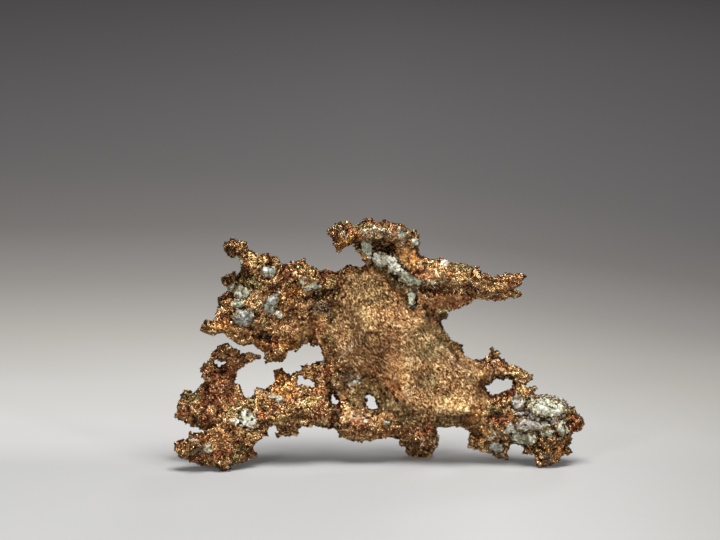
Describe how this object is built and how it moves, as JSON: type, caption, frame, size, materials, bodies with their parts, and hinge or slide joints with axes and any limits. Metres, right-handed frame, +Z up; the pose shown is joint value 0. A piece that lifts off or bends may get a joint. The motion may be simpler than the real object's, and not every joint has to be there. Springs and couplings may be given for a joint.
{
  "type": "native copper nugget",
  "caption": "Ragged, folded mass of native copper standing on three feet, with lumps of pale matrix mineral seated in it.",
  "frame": {"origin": "centre of the bounding box in X and Y, at the height of the surface that the three feet stand on", "axes": "+Z up, +X along the nugget's length to the right as its broad face is viewed, +Y towards its back"},
  "size_m": [0.1506, 0.0356, 0.0914],
  "materials": {
    "copper": "native copper, brown to golden, granular and glinting, with red and green coatings",
    "pale_matrix": "mint-white matrix mineral, finely broken, dull to waxy",
    "grey_matrix": "pale blue-grey to lilac matrix mineral, finely broken, dull"
  },
  "bodies": {
    "root": {"copper_mass": "copper", "matrix_right_upper": "pale_matrix", "matrix_right_middle": "grey_matrix", "matrix_right_lower": "pale_matrix", "matrix_right_inner": "grey_matrix", "matrix_right_edge": "pale_matrix", "matrix_right_toe": "pale_matrix", "matrix_top_vein": "pale_matrix", "matrix_top_drop": "pale_matrix", "matrix_left_top": "grey_matrix", "matrix_left_long": "grey_matrix", "matrix_left_low": "grey_matrix", "matrix_finger_gap": "pale_matrix", "matrix_arm": "pale_matrix", "matrix_back_wing": "grey_matrix", "matrix_back_plate": "pale_matrix", "matrix_back_right": "pale_matrix"}
  },
  "joints": []
}
